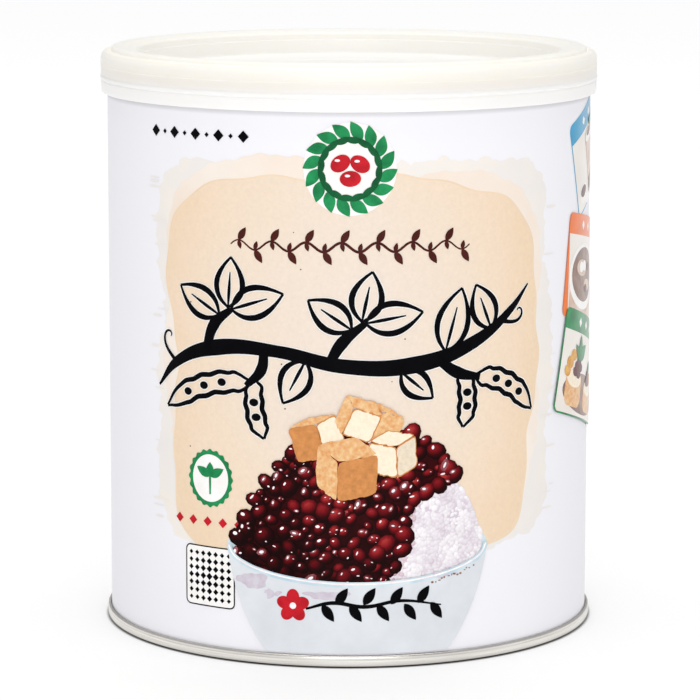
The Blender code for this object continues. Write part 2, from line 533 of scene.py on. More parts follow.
def two_tone(name, low, high, grain, detail=3.0, edges=(0.35, 0.65), gloss=0.06):
    """A printed tone that drifts between two shades in a pattern of that grain, in millimetres."""
    material, tree, shader = start_material(name)
    place = add(tree, "TexCoord").outputs["Object"]
    pattern = {"Scale": 1 / (grain * MM), "Detail": detail, "Roughness": 0.6}
    noise = add(tree, "TexNoise", {"Vector": place, **pattern}).outputs["Fac"]
    drift = add(tree, "MapRange", {"Value": noise, "From Min": edges[0], "From Max": edges[1]})
    mix = add(tree, "Mix", {0: drift.outputs["Result"], 6: tone(low), 7: tone(high)}, data_type="RGBA")
    varnish(tree, shader, mix.outputs[2], gloss)
    return material


def shaded_drops(name, stops):
    """Print whose painted light and dark is held in each drop's own shade attribute."""
    material, tree, shader = start_material(name)
    held = add(tree, "Attribute", attribute_name="shade").outputs["Fac"]
    ramp = add(tree, "ValToRGB", {"Fac": held})
    set_stops(ramp, stops)
    varnish(tree, shader, ramp.outputs["Color"])
    return material


def white_lacquer(name):
    # White stoving lacquer on tinplate: an even cool white, with the faint unevenness of a
    # rolled-on coat that shows only in the gloss
    material, tree, shader = start_material(name)
    place = add(tree, "TexCoord").outputs["Object"]
    drift = add(tree, "TexNoise", {"Vector": place, "Scale": 1 / (45 * MM), "Detail": 2.0})
    whites = {0: drift.outputs["Fac"], 6: tone(("lacquer", 0.985)), 7: tone(("lacquer", 1.0))}
    white = add(tree, "Mix", whites, data_type="RGBA").outputs[2]
    coat = add(tree, "TexNoise", {"Vector": place, "Scale": 1 / (1.6 * MM), "Detail": 3.0})
    bump = add(tree, "Bump", {"Strength": 0.25, "Distance": 0.02 * MM, "Height": coat.outputs["Fac"]})
    # Just under the cap the coat is painted a little grey, a painted shadow of the cap's edge
    level = add(tree, "SeparateXYZ", {"Vector": place}).outputs["Z"]
    cap_shadow_band = {"From Min": (CAP_BOTTOM - 1.9) * MM, "From Max": (CAP_BOTTOM - 0.6) * MM, "To Max": 0.8}
    cap_shadow = add(tree, "MapRange", {"Value": level, **cap_shadow_band}, interpolation_type="SMOOTHSTEP")
    greys = {0: cap_shadow.outputs["Result"], 6: white, 7: tone(("lacquer", 0.76))}
    set_inputs(tree, shader, {
        "Base Color": add(tree, "Mix", greys, data_type="RGBA").outputs[2],
        "Normal": bump.outputs["Normal"],
        "Roughness": PRINT_ROUGHNESS,
        "Specular IOR Level": 0.08,
    })
    return material


def inner_wash(name):
    # A second coat of the same paint on rough paper: cream in the middle, peach towards its rim,
    # clouded by the water and grainy where the paint settled in the paper
    material, tree, shader = start_material(name)
    place = add(tree, "TexCoord").outputs["Object"]
    across, up, middle, share = 58 * MM, 90 * MM, 100 * MM, 0.8
    oval = {"Location": (0, 0, -share * middle / up), "Scale": (share / across, 0, share / up)}
    centred = add(tree, "Mapping", {"Vector": place, **oval}).outputs["Vector"]
    away = add(tree, "VectorMath", {0: centred}, operation="LENGTH").outputs["Value"]
    clouds = {"Scale": 1 / (26 * MM), "Detail": 8.0, "Roughness": 0.65}
    cloud = add(tree, "TexNoise", {"Vector": place, **clouds}).outputs["Fac"]
    level = add(tree, "Math", {0: cloud, 1: 0.4, 2: away}, operation="MULTIPLY_ADD")
    ramp = add(tree, "ValToRGB", {"Fac": level.outputs["Value"]})
    set_stops(ramp, [(0.38, "#EEDFD1"), (0.7, "#F0DECA"), (0.86, "#F2DCC4"), (1.0, "#F1D8BB")])
    grains = {"Scale": 1 / (1.3 * MM), "Detail": 5.0, "Roughness": 0.7}
    grain = add(tree, "TexNoise", {"Vector": place, **grains}).outputs["Fac"]
    shades = {"From Min": 0.3, "From Max": 0.7, "To Min": 0.95, "To Max": 1.025}
    settled = add(tree, "MapRange", {"Value": grain, **shades}).outputs["Result"]
    coats = {0: 1.0, 6: ramp.outputs["Color"], 7: settled}
    painted = add(tree, "Mix", coats, data_type="RGBA", blend_type="MULTIPLY")
    varnish(tree, shader, painted.outputs[2])
    return material


def bright_tinplate(name):
    # Bright electrolytic tinplate: a warm grey mirror, drawn out by the fine lines of rolling
    material, tree, shader = start_material(name)
    place = add(tree, "TexCoord").outputs["Object"]
    along = add(tree, "Mapping", {"Vector": place, "Scale": (45, 45, 1500)}).outputs["Vector"]
    lines = add(tree, "TexNoise", {"Vector": along, "Scale": 1.0, "Detail": 3.0}).outputs["Fac"]
    rough = add(tree, "MapRange", {"Value": lines, "To Min": 0.16, "To Max": 0.32})
    bump = add(tree, "Bump", {"Strength": 0.3, "Distance": 0.02 * MM, "Height": lines})
    greys = {0: lines, 6: tone(("tinplate", 0.72)), 7: tone(("tinplate", 1.25))}
    metal = add(tree, "Mix", greys, data_type="RGBA").outputs[2]
    # The ring is painted darker by height: dark at its foot as a painted shadow and dark reflection,
    # with bands of painted reflection round it and painted shade in the crease over it
    ring = 5.0
    painted_shade_bands = [
        (0.0, 0.02), (0.35, 0.05), (0.6, 0.7), (1.2, 0.95), (2.2, 1.0), (2.6, 0.82), (2.9, 0.95), (3.5, 0.85),
        (3.8, 0.65), (4.0, 0.65), (4.1, 0.95), (ring, 0.95),
    ]
    level = add(tree, "SeparateXYZ", {"Vector": place}).outputs["Z"]
    share = add(tree, "MapRange", {"Value": level, "From Max": ring * MM}).outputs["Result"]
    ramp = add(tree, "ValToRGB", {"Fac": share})
    set_stops(ramp, [(height / ring, grey) for height, grey in painted_shade_bands])
    painted_shade_and_reflections = {0: 1.0, 6: metal, 7: ramp.outputs["Color"]}
    set_inputs(tree, shader, {
        "Base Color": add(tree, "Mix", painted_shade_and_reflections, data_type="RGBA", blend_type="MULTIPLY").outputs[2],
        "Roughness": rough.outputs["Result"],
        "Normal": bump.outputs["Normal"],
        "Metallic": 1.0,
    })
    return material


def natural_polyethylene(name):
    # Injection-moulded natural polyethylene: waxy cream and a little translucent. Its cream is set by height
    # with painted shade in it: a greyer band over the metal seam and a deeper cream in the groove at the
    # shoulder, and it is whiter towards its free edge against the body
    material, tree, shader = start_material(name)
    place = add(tree, "TexCoord").outputs["Object"]
    up = add(tree, "SeparateXYZ", {"Vector": place}).outputs["Z"]
    cap = {"From Min": CAP_BOTTOM * MM, "From Max": CAP_TOP * MM}
    height = add(tree, "MapRange", {"Value": up, **cap}).outputs["Result"]
    ramp = add(tree, "ValToRGB", {"Fac": height})
    # The darker tones from 175.8 to 177.2 and at 182.3 are painted shade
    painted_shade_bands = [
        (CAP_BOTTOM, "#FCFAF9"), (173.6, "#FCFAF8"), (174.3, "#FDFCFB"), (175.0, "#FBF8F5"),
        (175.8, "#F9F3EC"), (177.2, "#F9F2E9"), (178.8, "#FCF6EC"), (180.2, "#FDF8EF"), (181.6, "#FEFAF3"),
        (182.3, "#FBF5EA"), (182.6, "#FEFBF3"), (CAP_TOP, "#FDFAF2"),
    ]
    set_stops(ramp, [((level - CAP_BOTTOM) / (CAP_TOP - CAP_BOTTOM), cream) for level, cream in painted_shade_bands])
    cloud = add(tree, "TexNoise", {"Vector": place, "Scale": 1 / (18 * MM), "Detail": 3.0}).outputs["Fac"]
    clouding = {0: cloud, 6: ramp.outputs["Color"], 7: tone("#FEFCF8")}
    tint = add(tree, "Mix", clouding, data_type="RGBA", blend_type="MULTIPLY").outputs[2]
    # The thin panel and wall inside the ring let more light through and look whiter
    flat = add(tree, "VectorMath", {0: place, 1: (1, 1, 0)}, operation="MULTIPLY").outputs["Vector"]
    reach = add(tree, "VectorMath", {0: flat}, operation="LENGTH").outputs["Value"]
    within = add(tree, "MapRange", {"Value": reach, "From Min": 68.5 * MM, "From Max": 66.5 * MM})
    whitening = {0: within.outputs["Result"], 6: tint, 7: tone("#FDFAF3")}
    grain = add(tree, "TexNoise", {"Vector": place, "Scale": 1 / (0.5 * MM), "Detail": 2.0})
    bump = add(tree, "Bump", {"Strength": 0.2, "Distance": 0.02 * MM, "Height": grain.outputs["Fac"]})
    set_inputs(tree, shader, {
        "Base Color": add(tree, "Mix", whitening, data_type="RGBA").outputs[2],
        "Normal": bump.outputs["Normal"],
        "Roughness": 0.42,
        "Sheen Weight": 0.12,
        "Subsurface Weight": 0.3,
        "Subsurface Radius": (1.0, 0.9, 0.7),
        "Subsurface Scale": 2 * MM,
    })
    return material


def floor_paper(name):
    # White seamless paper: matt, with the faintest mottle. It glows as painted light, brighter
    # further out, as a lit sweep is
    material, tree, shader = start_material(name)
    place = add(tree, "TexCoord").outputs["Object"]
    mottle = add(tree, "TexNoise", {"Vector": place, "Scale": 3.0}).outputs["Fac"]
    paper = add(tree, "Mix", {0: mottle, 6: tone("#BBBBBB"), 7: tone("#BDBDBD")}, data_type="RGBA")
    reach = add(tree, "VectorMath", {0: place}, operation="LENGTH").outputs["Value"]
    sweep = {"From Min": 0.12, "From Max": 1.8, "To Min": 0.51, "To Max": 0.66}
    glow = add(tree, "MapRange", {"Value": reach, **sweep}).outputs["Result"]
    # No glow under the tin and less just round its foot, so that a thin painted contact shadow is left where
    # it stands
    foot = {"From Min": SEAM_RADIUS * MM, "From Max": (SEAM_RADIUS + 0.9) * MM}
    clear = add(tree, "MapRange", {"Value": reach, **foot}).outputs["Result"]
    set_inputs(tree, shader, {
        "Base Color": paper.outputs[2],
        "Emission Color": tone("#FFFFFF"),
        "Emission Strength": add(tree, "Math", {0: glow, 1: clear}, operation="MULTIPLY").outputs["Value"],
        "Roughness": 0.9,
    })
    return material


OTHER_FINISHES = {
    "white_lacquer": white_lacquer,
    "inner_wash": inner_wash,
    "bright_tinplate": bright_tinplate,
    "natural_polyethylene": natural_polyethylene,
    "floor_paper": floor_paper,
}


def finish_named(name):
    """The finish of that name, made when it is first asked for."""
    if name in bpy.data.materials:
        return bpy.data.materials[name]
    if name in INKS:
        return two_tone(name, *INKS[name])
    if name in DROP_STOPS:
        return shaded_drops(name, DROP_STOPS[name])
    return OTHER_FINISHES[name](name)


# Turned pieces


class FOODTIN_OT_body(bpy.types.Operator):
    """Turn the lacquered body, with a flange that dips under each seam"""

    bl_idname = "food_tin.body"
    bl_label = "Body"
    bl_options = {"REGISTER", "UNDO"}

    def execute(self, context):
        inner = BODY_RADIUS - 0.5
        floor = END_BACK + 0.3
        lower = [(0, floor, 0), (inner, floor, 0), (inner, BODY_LOW, 0), (BODY_RADIUS, BODY_LOW, 0)]
        upper = [(radius, TIN_HEIGHT - height, 0) for radius, height, fillet in reversed(lower)]
        piece = turned("lacquered_body", lower + upper)
        finish_piece(piece, "white_lacquer", "printed_tinplate", "can_body")
        return {"FINISHED"}


class FOODTIN_OT_bottom(bpy.types.Operator):
    """Turn the bottom end with its rounded double seam, groove and expansion ring"""

    bl_idname = "food_tin.bottom"
    bl_label = "Bottom end"
    bl_options = {"REGISTER", "UNDO"}

    def execute(self, context):
        wall = SEAM_RADIUS - 2.45
        profile = [
            (0, 3.1, 0), (48.8, 3.1, 1.0), (50.0, 3.8, 1.0), (62.0, 3.8, 1.0), (63.2, 3.1, 1.0),
            (wall - 3.0, 3.1, 0.7), (wall - 2.5, 4.7, 0.7), (wall - 0.5, 4.7, 0.7), (wall, 0.0, 0.9),
            (SEAM_RADIUS, 0.0, 0.8), (SEAM_RADIUS, 3.8, 0.7), (BODY_RADIUS + 0.25, 3.8, 0.25),
            (BODY_RADIUS + 0.25, 2.3, 0), (wall + 0.5, 2.3, 0), (wall + 0.5, END_BACK, 0),
            (0, END_BACK, 0),
        ]
        piece = turned("bottom_seam", profile)
        finish_piece(piece, "bright_tinplate", "bare_tinplate", "bottom_end")
        return {"FINISHED"}


class FOODTIN_OT_top(bpy.types.Operator):
    """Give the end that is shut in under the cap its metal"""

    bl_idname = "food_tin.top"
    bl_label = "Hidden top end"
    bl_options = {"REGISTER", "UNDO"}

    def execute(self, context):
        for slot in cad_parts["top_end"].material_slots:
            slot.material = finish_named("bright_tinplate")
        return {"FINISHED"}


class FOODTIN_OT_cap(bpy.types.Operator):
    """Turn the plastic cap with its skirt, bead, shoulder, stacking ring and sunken panel"""

    bl_idname = "food_tin.cap"
    bl_label = "Over-cap"
    bl_options = {"REGISTER", "UNDO"}

    def execute(self, context):
        side = CAP_RADIUS - 0.15
        wall = 0.9
        inside_seam = SEAM_RADIUS + 0.3
        profile = [
            (0, 175.0, 0), (66.9, 175.0, 0.3), (68.3, 182.1, 0.4), (74.4, 183.1, 0.4),
            (74.9, 181.3, 0.3), (side - wall, 181.3, 1.5), (side - wall, 178.7, 0.2),
            (77.0, 178.7, 0.2), (77.0, 178.1, 0), (inside_seam, 178.1, 0), (inside_seam, 174.3, 0),
            (BODY_RADIUS + 0.6, 173.6, 0.2), (side - 1.1, 172.8, 0), (side - 1.15, CAP_BOTTOM, 0.3),
            (side - 0.25, CAP_BOTTOM, 0.42), (side - 0.05, 173.3, 0.3), (side - 0.2, 173.7, 0.15),
            (CAP_RADIUS, 174.1, 0.3), (CAP_RADIUS, 174.8, 0.3), (side - 0.05, 175.3, 0.4),
            (side - 0.05, 178.1, 0.3), (side + 0.08, 178.5, 0.2), (side - 0.05, 178.9, 0.3),
            (side - 0.15, 182.9, 2.4), (76.25, 182.9, 0.15), (75.95, 182.45, 0.15), (75.4, 183.9, 0.85),
            (71.9, CAP_TOP, 2.0), (67.4, 183.0, 0.9), (66.95, 180.9, 0.15), (66.7, 180.7, 0.15),
            (66.2, 176.1, 1.1), (43.3, 176.1, 1.0), (42.5, 175.8, 1.0), (0, 175.8, 0),
        ]
        piece = turned("plastic_cap", profile)
        finish_piece(piece, "natural_polyethylene", "soft_plastic", "over_cap")
        return {"FINISHED"}


# Flat print: outlines in millimetres, across from the front line and up from the base


SOFT_RIM = [(3, 1.4), (5, 1.6), (9, 1.0), (23, 0.5)]
BLOTS = [
    # name, finish, across, up, width, height, power, waves (count, size), seed, layer
    ("wash_outer", "outer_wash", 3.0, 93.5, 138.0, 121.0, 7.0,
     [(5, 1.6), (8, 1.2), (13, 0.9), (37, 0.6), (71, 0.45), (113, 0.35), (190, 0.2)], 7, 0),
    ("wash_middle", "middle_wash", 1.0, 94.5, 128.0, 118.0, 4.6,
     [(3, 2.2), (5, 1.8), (9, 1.0), (31, 0.4), (83, 0.25)], 21, 0.7),
    ("wash_edge", "wash_edge", 1.5, 91.5, 124.0, 116.0, 5.5, SOFT_RIM, 4, 1.4),
    ("wash_inner", "inner_wash", 1.5, 91.5, 123.0, 115.0, 5.5, SOFT_RIM, 4, 1.8),
]


STREAKS, SPECKS = 30, 12  # dry marks of the brush at the sides of the wash, and flicked drops on it


class FOODTIN_OT_wash(bpy.types.Operator):
    """Lay the overlapping blots of pale watercolour behind the print"""

    bl_idname = "food_tin.wash"
    bl_label = "Watercolour wash"
    bl_options = {"REGISTER", "UNDO"}

    def execute(self, context):
        for name, finish, *outline, layer in BLOTS:
            filled(name, [blot_outline(*outline)], layer, finish)
        rng = random.Random(3)
        streaks, specks = [], []
        for i in range(STREAKS):
            side = -1 if i % 3 else 1
            spot = (3 + side * rng.uniform(67, 71.5), rng.uniform(40, 148))
            streaks.append(ellipse(*spot, rng.uniform(1.2, 3.4), rng.uniform(0.15, 0.5), steps=16))
        for _ in range(SPECKS):
            spot = (rng.uniform(-55, 60), rng.uniform(60, 148))
            size = rng.uniform(0.12, 0.26)
            specks.append(ellipse(*spot, size, size, steps=10))
        print_film("wash_streaks", shapes_from(streaks), 0.35, "outer_wash")
        print_film("wash_specks", shapes_from(specks), 3, "brown_ink")
        return {"FINISHED"}


LEAF_LINE, RIB_LINE, POD_LINE, POD_BEAN = 0.95, 0.55, 0.8, 1.5  # half widths of the brush's marks


def leaf_strokes(base, length, width, degrees, steps=6):
    """A leaf in three strokes of the brush: its two edges and its midrib."""
    strokes = []
    for side, line, reach in ((1, LEAF_LINE, 1.0), (-1, LEAF_LINE, 1.0), (0, RIB_LINE, 0.7)):
        points = []
        for i in range(steps + 1):
            t = i / steps
            out = side * width / 2 * math.sin(math.pi * t**0.85) ** 0.9
            spot = (base[0] + reach * length * t, base[1] + out)
            girth = line * (0.4 + 0.6 * math.sin(math.pi * min(t * 1.1, 1)))
            points.append((*turn_about([spot], base, math.radians(degrees))[0], girth))
        strokes.append(points)
    return strokes


def pod_strokes(start, end, sag, girth, beans):
    """A hanging bean pod: two strokes that bulge over each bean and meet in a beak, and its beans."""
    along = Vector(end) - Vector(start)
    side = Vector((-along.y, along.x)).normalized()
    steps = 4 * beans
    near, far, spots = [], [], []
    for i in range(steps + 1):
        t = i / steps
        middle = Vector(start) + along * t + side * sag * 4 * t * (1 - t)
        taper = min(1.0, 6 * t + 0.12, 5 * (1 - t) + 0.04)
        half_width = girth * taper * (0.84 + 0.16 * math.sin(math.pi * beans * t) ** 2)
        line = POD_LINE * (0.5 + 0.5 * math.sin(math.pi * t))
        near.append((*(middle + side * half_width), line))
        far.append((*(middle - side * half_width), line))
        if i % 4 == 2 and 4 < i < steps - 3:
            spots.append(tuple(middle))
    return [near, far], spots


def tendril(start, heading, reach, curl, girth, steps=14):
    """A curling shoot: its steps shorten and turn more and more, and it thins to its end."""
    x, z = start
    angle = math.radians(heading)
    points = []
    for i in range(steps + 1):
        t = i / steps
        points.append((x, z, girth * (1 - 0.7 * t)))
        step = reach / steps * (1.5 - 1.1 * t)
        x += step * math.cos(angle)
        z += step * math.sin(angle)
        angle += curl * math.tau / steps * 2 * t
    return points


SPRIG_STEMS = [
    # points of (across, up, half width)
    [(-66, 83, 0.4), (-58, 91, 1.6), (-42, 97, 2.5), (-22, 97, 1.9), (-2, 93, 2.2), (20, 93, 2.6),
     (40, 99, 2.0), (54, 108, 1.2), (61, 115, 0.3)],
    [(-46, 96, 1.5), (-43, 104, 1.9), (-37, 109, 1.0)],
    [(-6, 93.5, 1.4), (-2, 100, 1.9), (5, 106, 1.0)],
    [(-26, 97, 1.4), (-27, 91, 1.8), (-32, 86, 0.9)],
    [(28, 94, 1.4), (34, 90, 1.9), (42, 88, 1.0)],
]
SPRIG_PODS = [
    # start, end, sag, half width, beans
    ((-30, 87), (-62, 77), -3.0, 3.3, 5),
    ((40, 88.5), (63, 76), 3.0, 3.3, 5),
    ((-29, 88), (-26, 70), -1.6, 2.9, 4),
    ((36, 90), (36, 73), 1.6, 2.9, 4),
]
SPRIG_TENDRILS = [
    # start, heading in degrees, reach, turns, half width
    ((50, 104.5), -10, 13, 0.9, 0.7),
    ((-58, 91), 140, 15, -0.9, 0.7),
]
SPRIG_LEAVES = [
    # base, length, width, heading in degrees
    ((-37, 109), 18, 9.0, 18), ((-38, 109.5), 15.5, 9.0, 86), ((-41, 107), 17, 8.5, 152),
    ((5, 106), 18, 9.0, 10), ((4, 106.5), 15.5, 9.0, 78), ((1, 104), 16, 8.5, 146),
    ((30, 96.5), 20, 10.0, 74), ((46, 102.5), 15, 8.5, 112), ((16, 91), 13, 7.5, -40),
    ((-13, 94.5), 15, 9.0, -118),
]


class FOODTIN_OT_sprig(bpy.types.Operator):
    """Brush the large black sprig of a bean plant, with a fine pale keyline under it"""

    bl_idname = "food_tin.sprig"
    bl_label = "Brushed sprig"
    bl_options = {"REGISTER", "UNDO"}

    def execute(self, context):
        strokes = SPRIG_STEMS + [tendril(*shoot) for shoot in SPRIG_TENDRILS]
        beans = []
        for leaf in SPRIG_LEAVES:
            strokes += leaf_strokes(*leaf)
        for pod in SPRIG_PODS:
            edges, spots = pod_strokes(*pod)
            strokes += edges
            beans += spots
        for name, grow, layer, finish in (
            ("sprig_keyline", 0.28, 3, "white_ink"),
            ("brushed_sprig", 0.0, 5.5, "black_ink"),
        ):
            shapes = []
            for points in strokes:
                grown = [(across, up, girth + grow) for across, up, girth in points]
                shapes.append(brush_stroke(grown))
            for spot in beans:
                outline = ellipse(*spot, POD_BEAN + grow, 0.8 * POD_BEAN + grow, steps=20)
                shapes.append(flat_shape(outline))
            print_film(name, fanned(shapes, 0.0015), layer, finish)
        return {"FINISHED"}


WREATH_CENTRE = (0.4, 152.6)
WREATH_RADIUS = 9.4
WREATH_GROUND = 14.0
WREATH_LEAVES = 16
WREATH_OUTER_LEAF, WREATH_INNER_LEAF = (6.6, 3.6, 0.95), (5.0, 2.0, 2.0)  # length, width and lean
WREATH_BEANS = [(-2.9, 1.7, 0.6), (3.0, 1.5, -0.6), (0.1, -2.9, 0.05)]  # across, up and tilt


class FOODTIN_OT_wreath(bpy.types.Operator):
    """Print the wreath of leaves round three red beans at the top of the front"""

    bl_idname = "food_tin.wreath"
    bl_label = "Wreath"
    bl_options = {"REGISTER", "UNDO"}

    def execute(self, context):
        across, up = WREATH_CENTRE
        ground = ellipse(across, up, WREATH_GROUND, WREATH_GROUND)
        filled("wreath_ground", [ground], 3, "white_ink")
        for name, (length, width, lean), layer, finish in (
            ("wreath_leaves", WREATH_OUTER_LEAF, 4, "green_ink"),
            ("wreath_inner_leaves", WREATH_INNER_LEAF, 6, "dark_green_ink"),
        ):
            leaves = []
            for i in range(WREATH_LEAVES):
                angle = math.tau * i / WREATH_LEAVES
                base = (across + WREATH_RADIUS * math.cos(angle), up + WREATH_RADIUS * math.sin(angle))
                leaves.append(leaf_outline(base, length, width, angle + lean))
            print_film(name, shapes_from(leaves), layer, finish)
        stem = [ellipse(across, up, WREATH_RADIUS + k, WREATH_RADIUS + k) for k in (0.3, -0.3)]
        filled("wreath_stem", stem, 8, "dark_green_ink")
        beans, glints = [], []
        for aside, above, tilt in WREATH_BEANS:
            spot = (across + aside, up + above)
            beans.append(turn_about(ellipse(*spot, 3.2, 2.4), spot, tilt))
            glints.append(ellipse(spot[0] - 0.9, spot[1] + 0.9, 0.8, 0.4))
        filled("wreath_beans", beans, 7, "red_ink")
        filled("wreath_glints", glints, 8, "glint_ink")
        return {"FINISHED"}


VINE_START, VINE_END, VINE_LEVEL = -37.0, 38.0, 129.0
VINE_SWING = 1.4
VINE_BENDS = 14
VINE_LEAVES = [(4.6, 2.2, 58), (2.8, 1.4, -75)]  # length, width and degrees to the outer side of a bend


class FOODTIN_OT_vine(bpy.types.Operator):
    """Print the thin brown vine between the wreath and the sprig"""

    bl_idname = "food_tin.vine"
    bl_label = "Vine"
    bl_options = {"REGISTER", "UNDO"}

    def execute(self, context):
        def on_stem(t):
            swing = VINE_SWING * math.sin(math.pi * VINE_BENDS * t)
            return VINE_START + (VINE_END - VINE_START) * t, VINE_LEVEL + swing

        count = 4 * VINE_BENDS
        stem = [(*on_stem(i / count), 0.2 + 0.22 * math.sin(math.pi * i / count)) for i in range(count + 1)]
        shapes = [brush_stroke(stem)]
        for i in range(VINE_BENDS):
            spot = on_stem((i + 0.5) / VINE_BENDS)
            side = -1 if i % 2 else 1
            for length, width, degrees in VINE_LEAVES:
                shapes.append(flat_shape(leaf_outline(spot, length, width, side * math.radians(degrees))))
        print_film("brown_vine", fanned(shapes), 4, "brown_ink")
        return {"FINISHED"}


class FOODTIN_OT_small_print(bpy.types.Operator):
    """Print the green seal, the red diamonds, the framed lattice and the top rule"""

    bl_idname = "food_tin.small_print"
    bl_label = "Small print"
    bl_options = {"REGISTER", "UNDO"}

    def execute(self, context):
        self.seal()
        self.lattice()
        red = [diamond(-57 + 5.6 * i, 42.6, 2.2) for i in range(5)]
        filled("red_diamonds", red, 4, "red_ink", once=True)
        rule = [diamond(-67 + 4.3 * i, 161.6, 1.1 if i % 2 else 2.6) for i in range(9)]
        filled("top_rule", rule, 3, "black_ink", once=True)
        return {"FINISHED"}

    def seal(self):
        """A scalloped green ring with a sprout on a white ground."""
        across, up, reach, scallops = -44.8, 56.2, 8.0, 20
        edge = []
        for i in range(9 * scallops):
            a = math.tau * i / (9 * scallops)
            swell = 0.3 * math.cos(scallops * a)
            edge.append((across + (reach + swell) * math.cos(a), up + (reach + 0.8 + swell) * math.sin(a)))
        field = ellipse(across, up, reach - 1.4, reach - 0.6)
        filled("seal_field", [field], 3, "white_ink", once=True)
        filled("seal_ring", [edge, field], 4, "green_ink", once=True)
        sprout = [brush_stroke([(across, up - 5, 0.3), (across, up - 1, 0.4), (across, up + 2, 0.3)])]
        for length, degrees in ((5.6, 28), (5.6, 152), (4.4, 90)):
            outline = leaf_outline((across, up + 0.6), length, 2.8, math.radians(degrees))
            sprout.append(flat_shape(outline))
        print_film("seal_sprout", fanned(sprout), 5, "green_ink", once=True)

    def lattice(self):
        """A thin rounded frame round diamonds that shrink away from its middle."""
        across, up, width, height, corner, line, pitch = -45.2, 25.4, 18.4, 19.0, 1.8, 0.4, 2.35
        outer = box_outline(across, up, width, height, corner)
        inner = box_outline(across, up, width - 2 * line, height - 2 * line, corner - line)
        filled("frame_ground", [outer], 3, "white_ink", once=True)
        filled("frame_line", [outer, inner], 4, "black_ink", once=True)
        diamonds = []
        for i in range(-3, 4):
            for j in range(-3, 4):
                size = 1.62 - 0.1 * (abs(i) + abs(j))
                diamonds.append(diamond(across + i * pitch, up + j * pitch, size))
        filled("frame_diamonds", diamonds, 4, "black_ink", once=True)


# The picture of the dessert


BOWL = (3.2, 36.4, 41.8, 10.6)  # middle across, level, half width and half height of its rim
BOWL_FOOT_LEFT, BOWL_FOOT_RIGHT, BOWL_LOW = -25.5, 31.0, 4.4
HEAP = [(-36, 33), (-33, 45), (-26, 57), (-17, 67), (-5, 74), (8, 76), (20, 73), (28, 67), (32, 61),
        (29, 56), (21, 52), (18, 45), (17, 36), (11, 26), (-4, 22), (-24, 25)]
ICE = [(18, 50), (24, 57), (30, 59), (36, 54), (40, 46), (43, 38), (40, 30), (27, 25), (10, 22), (12, 38)]
SMUDGES = [(-30.0, 26.0, 10.0, 4.6), (-23.5, 22.4, 5.0, 2.2), (-6.5, 22.6, 14.0, 2.4), (30.0, 27.8, 9.0, 1.2)]
RIM_SPECKS = (26.0, 41.0, 14)  # from and to across, and how many, just under the rim
PAINTED_LIGHT = Vector((-0.35, 0.6, 0.72))  # from the left, from above and from the front
BEAN_GLINTS = [
    # chance, across and up as shares of the bean, length as a share of its half length
    (0.8, -0.3, 0.42, 0.19), (0.35, 0.32, 0.28, 0.11), (0.25, 0.2, -0.5, 0.1), (0.15, -0.55, -0.1, 0.09),
]

CAKE_LOOKS = ("crust", "pale_crust", "crumb", "crumb_shade")
CAKES = [
    # across, up, edge, (tilt, roll, turn) in degrees, looks of the left, right and upper face
    (9.5, 75.5, 9.5, (24, 18, 40), ("crust", "pale_crust", "pale_crust")),
    (-9.5, 71.0, 11.0, (18, -8, -38), ("crust", "crumb", "pale_crust")),
    (3.0, 77.0, 9.6, (26, 16, 22), ("pale_crust", "crumb", "pale_crust")),
    (13.5, 66.0, 10.4, (20, 10, -34), ("crumb", "crumb_shade", "crumb")),
    (-0.5, 61.5, 13.6, (24, -10, 26), ("pale_crust", "crust", "pale_crust")),
]


def smooth_loop(points, steps=6):
    """A closed curve that passes evenly through a few points."""
    loop = []
    count = len(points)
    for i in range(count):
        before, here, there, after = (Vector(points[(i + k) % count]) for k in (-1, 0, 1, 2))
        for step in range(steps):
            t = step / steps
            place = 0.5 * (
                2 * here
                + (there - before) * t
                + (2 * before - 5 * here + 4 * there - after) * t**2
                + (3 * here - before - 3 * there + after) * t**3
            )
            loop.append(tuple(place))
    return loop


def inside(point, outline):
    """Whether a point lies in a closed outline."""
    x, z = point
    crossings = 0
    for (xa, za), (xb, zb) in zip(outline, outline[1:] + outline[:1]):
        if (za > z) != (zb > z) and x < xa + (z - za) / (zb - za) * (xb - xa):
            crossings += 1
    return crossings % 2 == 1


def scattered(rng, outline, spacing, tries):
    """Random points in an outline, no two closer than the spacing."""
    xs, zs = zip(*outline)
    points = []
    for _ in range(tries):
        point = (rng.uniform(min(xs), max(xs)), rng.uniform(min(zs), max(zs)))
        if inside(point, outline) and all(math.dist(point, other) > spacing for other in points):
            points.append(point)
    return points


def dome(segments, rings):
    """Half a ball of radius 1, lying on its cut with its top towards the viewer."""
    bpy.ops.object.select_all(action="DESELECT")
    bpy.ops.mesh.primitive_uv_sphere_add(
        segments=segments, ring_count=rings, radius=1, rotation=(math.pi / 2, 0, 0)
    )
    piece = bpy.context.object
    bpy.ops.object.transform_apply(rotation=True)
    edit(piece)
    bpy.ops.mesh.bisect(plane_co=(0, 0, 0), plane_no=(0, 1, 0), use_fill=True, clear_outer=True)
    bpy.ops.object.mode_set(mode="OBJECT")
    return piece


